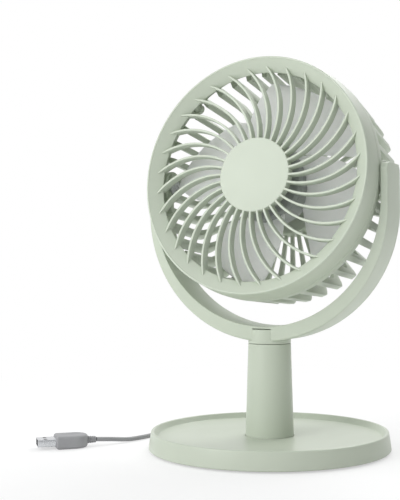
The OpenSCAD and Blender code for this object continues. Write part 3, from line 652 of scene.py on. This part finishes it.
def grip(size):
    """A moulded grip (length, width, height) with the cord end at x 0 and the metal end at +X, a thumb dimple on
    top and a ribbed neck."""
    length, wide, high = size
    neck, r = NECK, wide / 2
    end, dish = neck + length, r * 0.62
    middle = neck + r + 1

    def outline(inset):
        rr = r - inset
        pts = [(neck + r + rr * math.cos(a), rr * math.sin(a))
               for a in (math.radians(90 + 180 * k / 32) for k in range(33))]
        c = max(0.15, 1.5 - inset)
        x = end - inset
        pts += [(x - c + c * math.sin(a), -rr + c - c * math.cos(a)) for a in turns]
        pts += [(x - c + c * math.cos(a), rr - c + c * math.sin(a)) for a in turns]
        return pts

    turns = [math.pi / 2 * k / 6 for k in range(7)]
    edge, half = min(1.7, high * 0.24), high / 2
    rings = [[(x, y, -half + edge * (1 - math.cos(t))) for x, y in outline(edge * (1 - math.sin(t)))] for t in turns]
    rings += [[(x, y, half - edge * (1 - math.cos(t))) for x, y in outline(edge * (1 - math.sin(t)))]
              for t in reversed(turns)]
    rim = rings[-1]
    for reach, depth in ((1.0, 0.0), (0.96, 0.06), (0.9, 0.2), (0.8, 0.3), (0.5, 0.38), (0.15, 0.4)):
        rings.append([(middle + dish * reach * math.cos(a), dish * reach * math.sin(a), half - depth)
                      for a in (math.atan2(y, x - middle) for x, y, _ in rim)])
    ribs = [(0, 0.0)]
    for k in range(4):
        x, wider = 0.25 + 1.35 * k, 0.1 * k
        ribs += [(2.0 + wider, x), (2.05 + wider, x + 0.85), (1.75 + wider, x + 0.95), (1.75 + wider, x + 1.25)]
    ribs += [(2.38, 5.7), (2.38, 8.0), (0, 8.0)]
    return [loft(rings), along_x(lathe(ribs, 36))]


AT_PORT = Matrix.Translation((0, 99.7, 4.9)) @ Matrix.Rotation(math.radians(-90), 4, "Z")
AT_PLUG = Matrix.Translation((-104, -42, 4)) @ Matrix.Rotation(math.radians(225), 4, "Z")

# The lead's course by given points: from the port to the coil, and from the coil to the USB-A plug.
TO_COIL = [(0, 99.5, 4.9), (0, 103.5, 4.6), (-2, 108.5, 3.6), (-7, 113, 2.4), (-14, 115.5, 1.4), (-22, 116.3, 1.4),
           (-30, 116, 1.4), (-37, 115.3, 1.4), (-44, 114.9, 1.4)]
TO_PLUG = [(-63.6, 92.5, 4.2), (-63.7, 85, 4.2), (-64.2, 78, 4), (-65.5, 70, 2.6), (-68, 61, 1.5), (-73, 48, 1.4),
           (-80, 33, 1.4), (-86, 18, 1.4), (-88, 3, 1.4), (-90, -10, 1.4), (-93, -22, 1.7), (-98, -33, 3.1),
           (-103.9, -41.9, 4)]
CORD_D = 2.8
COIL_AT = (-44, 92.5)
COIL_RADII = [22.4, 19.6, 16.8, 14.0, 11.2]
COIL_STEP = 10
COIL_END = 360 * 7 + 90
LOW, HIGH = CORD_D / 2, CORD_D * 1.5


def smooth_line(points, steps):
    """A Catmull-Rom curve through the points."""
    out = []
    get = lambda i: Vector(points[max(0, min(len(points) - 1, i))])
    for i in range(len(points) - 1):
        a, b, c, d = get(i - 1), get(i), get(i + 1), get(i + 2)
        for k in range(steps):
            t = k / steps
            bent = (2 * a - 5 * b + 4 * c - d) * t * t + (3 * b - a - 3 * c + d) * t ** 3
            out.append(0.5 * (2 * b + (c - a) * t + bent))
    return out + [get(len(points) - 1)]


def ease(t):
    """0 to 1 with a gentle start and end."""
    t = max(0.0, min(1.0, t))
    return t * t * (3 - 2 * t)


def coil_line():
    """Seven and a quarter turns, from the top of the coil round anticlockwise: five turns inwards on the desk, then
    back outwards on top of them. Each turn changes radius in one sector, and the cord climbs once, at the inside."""
    radii, inmost = COIL_RADII, len(COIL_RADII) - 1
    out = []
    for deg in range(COIL_STEP, COIL_END, COIL_STEP):
        turn, part = divmod(deg, 360)
        across, climb = ease((part - 200) / 140), ease((part - 20) / 140)
        here = turn if turn <= inmost else 2 * inmost - turn
        after = here + 1 if turn < inmost else here - 1
        r = radii[here] + (radii[after] - radii[here]) * across
        z = LOW if turn < inmost else HIGH if turn > inmost else LOW + (HIGH - LOW) * climb
        a = math.radians(90 + deg)
        out.append(Vector((COIL_AT[0] + r * math.cos(a), COIL_AT[1] + r * math.sin(a), z)))
    return out


def make_cord():
    """The supply cord as one curve, a hair thinner than its CAD solids. Returns it and its length in metres."""
    line = smooth_line(TO_COIL, 4)[:-1] + coil_line() + smooth_line(TO_PLUG, 4)
    curve = bpy.data.curves.new("supply_cord", "CURVE")
    curve.dimensions, curve.bevel_depth, curve.bevel_resolution = "3D", CORD_D / 2 * 0.995 * MM, 5
    curve.use_fill_caps = True
    spline = curve.splines.new("POLY")
    spline.points.add(len(line) - 1)
    for point, p in zip(spline.points, line):
        point.co = (*(p * MM), 1)
    spline.use_smooth = True
    curve.materials.append(JACKET)
    cord = bpy.data.objects.new("supply_cord", curve)
    scene.collection.objects.link(cord)
    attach(cord, "base")
    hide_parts("cord_to_coil", "cord_coil", "cord_to_plug")
    return cord, sum((b - a).length for a, b in zip(line, line[1:])) * MM


def make_plugs():
    """Both grips and the metal end of the USB-A plug."""
    small = piece("micro_grip", grip(MICRO_GRIP), "base", GREY, ["micro_plug_grip"], AT_PORT)
    large = piece("usb_grip", grip(USB_GRIP), "base", GREY, ["usb_plug_grip"], AT_PLUG)
    start = NECK + USB_GRIP[0]

    def outline(inset):
        y, z, r = 6 - inset, 2.25 - inset, max(0.1, 0.6 - inset)
        return rounded([(-y, -z, r), (y, -z, r), (y, z, r), (-y, z, r)], 4)

    profile = [(0.0, -0.6), (0.0, 11.1), (0.1, 11.2), (0.2, 11.2), (0.3, 11.1), (0.3, -0.6)]
    rings = [[(start + x, y, z) for y, z in outline(inset)] for inset, x in profile]
    windows = [block((start + 5.2, start + 7.4), (y - 1.2, y + 1.2), (z, z + 1), 0.1)
               for y in (-3, 3) for z in (1.8, -2.8)]
    shell = piece("usb_shell", [loft(rings, closed=True)], "base", STEEL, ["usb_plug_shell"], AT_PLUG,
                  windows)
    tongue = piece("usb_tongue", [block((start, start + 10.6), (-5.65, 5.65), (-1.93, -0.1), 0.25)], "base", BLACK,
                   ["usb_plug_insert"], AT_PLUG)
    strips = [block((start + x, start + 9.6), (y - 0.5, y + 0.5), (-0.2, 0.02), 0.05)
              for x, y in ((1.2, -3.5), (2.4, -1.0), (2.4, 1.0), (1.2, 3.5))]
    pins = piece("usb_contacts", strips, "base", GOLD, (), AT_PLUG)
    return [small, large, shell, tongue, pins]


# ---------- studio ----------

BEHIND = (-0.45, 0.89, 0.0)
BACKDROP = (1.0, 1.0, 1.0)
FLOOR = (0.95, 0.95, 0.95)
FLOOR_R, DOME_R = 12, 13
FLOOR_Z, GLOW_Z = -0.0002, -0.00015
# Painted white glow over the floor: its share at the middle, and the radii where it starts and finishes growing to
# full white.
GLOW_NEAR, GLOW_START, GLOW_END = 0.55, 0.08, 0.5
BRIGHT_SIDE = (-0.52, -0.7, 0.49)
ROOM_DARK, ROOM_LIGHT = (0.12, 0.12, 0.12), (0.68, 0.69, 0.70)
LAMP_AIM = (0, 0, 0.13)
LAMPS = (
    ("key", (-0.6, -1.2, 0.75), (0.9, 0.9), 8.8),
    ("fill", (1.3, -0.4, 1.0), (0.8, 1.2), 0.6),
    ("top", (-0.3, -0.1, 1.4), (1.0, 1.0), 2.5),
    ("back", (0.1, 1.1, 1.2), (1.2, 0.6), 10),
)


def smooth_step(tree, value, low, high, start=0.0):
    """Rises smoothly from start to 1 as the value runs from low to high."""
    span = tree.nodes.new("ShaderNodeMapRange")
    span.interpolation_type = "SMOOTHSTEP"
    span.inputs["From Min"].default_value, span.inputs["From Max"].default_value = low, high
    span.inputs["To Min"].default_value = start
    tree.links.new(value, span.inputs["Value"])
    return span.outputs["Result"]


def facing(tree, coords, way, low, high):
    """0 to 1 as the coordinates run from low to high along a direction."""
    along = tree.nodes.new("ShaderNodeVectorMath")
    along.operation = "DOT_PRODUCT"
    along.inputs[1].default_value = way
    tree.links.new(coords, along.inputs[0])
    return smooth_step(tree, along.outputs["Value"], low, high)


def stage_piece(name, material, build, camera_only=False, **size):
    """A piece of the studio. One that only the camera sees neither lights nor shades the fan."""
    mesh = bpy.data.meshes.new(name)
    bm = bmesh.new()
    build(bm, **size)
    bm.to_mesh(mesh)
    bm.free()
    mesh.materials.append(material)
    made = bpy.data.objects.new(name, mesh)
    scene.collection.objects.link(made)
    if camera_only:
        made.visible_diffuse = made.visible_glossy = made.visible_transmission = made.visible_shadow = False
        material.cycles.emission_sampling = "NONE"
    return made


def white_glow_layer(name, near):
    """White glow that covers that share of what lies behind it at the middle, and all of it from GLOW_END outwards.
    On the floor this is painted light that fades the floor's shadows; on the dome it is a plain white backdrop.
    """
    made = bpy.data.materials.new(name)
    made.use_nodes = True
    tree = made.node_tree
    tree.nodes.remove(tree.nodes["Principled BSDF"])
    where = tree.nodes.new("ShaderNodeTexCoord")
    away = tree.nodes.new("ShaderNodeVectorMath")
    away.operation = "LENGTH"
    tree.links.new(where.outputs["Object"], away.inputs[0])
    cover = smooth_step(tree, away.outputs["Value"], GLOW_START, GLOW_END, near)
    blend = tree.nodes.new("ShaderNodeMixShader")
    tree.links.new(cover, blend.inputs["Fac"])
    tree.links.new(tree.nodes.new("ShaderNodeBsdfTransparent").outputs["BSDF"], blend.inputs[1])
    tree.links.new(node_at(tree, "ShaderNodeEmission", Color=(*BACKDROP, 1), Strength=1.0).outputs["Emission"],
                   blend.inputs[2])
    tree.links.new(blend.outputs["Shader"], tree.nodes["Material Output"].inputs["Surface"])
    return made


def make_floor():
    """A pale sheet under a camera-only sheet of painted white glow that half-fades the floor's shadows near the fan
    and whitens the floor further out, inside a white dome, so no line shows where the floor ends.
    """
    paper = surface("floor_paper", FLOOR, 0.75, tint=0.004, grain_mm=0.0, specular=0.2)
    sheet = {"cap_ends": True, "segments": 96, "radius": FLOOR_R}
    stage_piece("floor", paper, bmesh.ops.create_circle, **sheet).location.z = FLOOR_Z
    floor_glow = white_glow_layer("floor_white", GLOW_NEAR)
    # Painted light: a white glowing sheet, seen only by the camera, that fades the floor's shadows.
    stage_piece("floor_painted_glow", floor_glow, bmesh.ops.create_circle, True, **sheet).location.z = GLOW_Z
    stage_piece("backdrop", white_glow_layer("backdrop_white", 1.0), bmesh.ops.create_uvsphere, True,
                u_segments=48, v_segments=24, radius=DOME_R)


def make_light():
    """Light from a room that is white behind the fan and brighter on its upper left, and soft lamps."""
    world = bpy.data.worlds.new("studio")
    world.use_nodes = True
    tree = world.node_tree
    where = tree.nodes.new("ShaderNodeTexCoord")
    room = tree.nodes.new("ShaderNodeMix")
    room.data_type = "RGBA"
    room.inputs[6].default_value, room.inputs[7].default_value = (*ROOM_DARK, 1), (*ROOM_LIGHT, 1)
    tree.links.new(facing(tree, where.outputs["Generated"], BRIGHT_SIDE, -0.7, 0.8), room.inputs[0])
    whole = tree.nodes.new("ShaderNodeMix")
    whole.data_type = "RGBA"
    whole.inputs[7].default_value = (*BACKDROP, 1)
    tree.links.new(facing(tree, where.outputs["Generated"], BEHIND, 0.45, 0.85), whole.inputs[0])
    tree.links.new(room.outputs[2], whole.inputs[6])
    tree.links.new(whole.outputs[2], tree.nodes["Background"].inputs["Color"])
    scene.world = world
    scene.view_settings.view_transform = "Standard"
    for name, place, size, power in LAMPS:
        data = bpy.data.lights.new(name, "AREA")
        data.shape, data.size, data.size_y, data.energy = "RECTANGLE", size[0], size[1], power
        lamp = bpy.data.objects.new(name, data)
        scene.collection.objects.link(lamp)
        lamp.location = place
        lamp.rotation_mode = "QUATERNION"
        lamp.rotation_quaternion = (Vector(LAMP_AIM) - Vector(place)).to_track_quat("-Z", "Y")


make_camera()
for cad_name, finish in CAD_FINISH.items():
    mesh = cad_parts[cad_name].data
    mesh.materials.clear()
    mesh.materials.append(finish)
make_base()
make_yoke()
make_grille()
make_cage()
make_motor()
make_rotor()
cord, cord_length = make_cord()
on_cord = make_plugs() + [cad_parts["micro_plug_shell"]]
make_floor()
make_light()
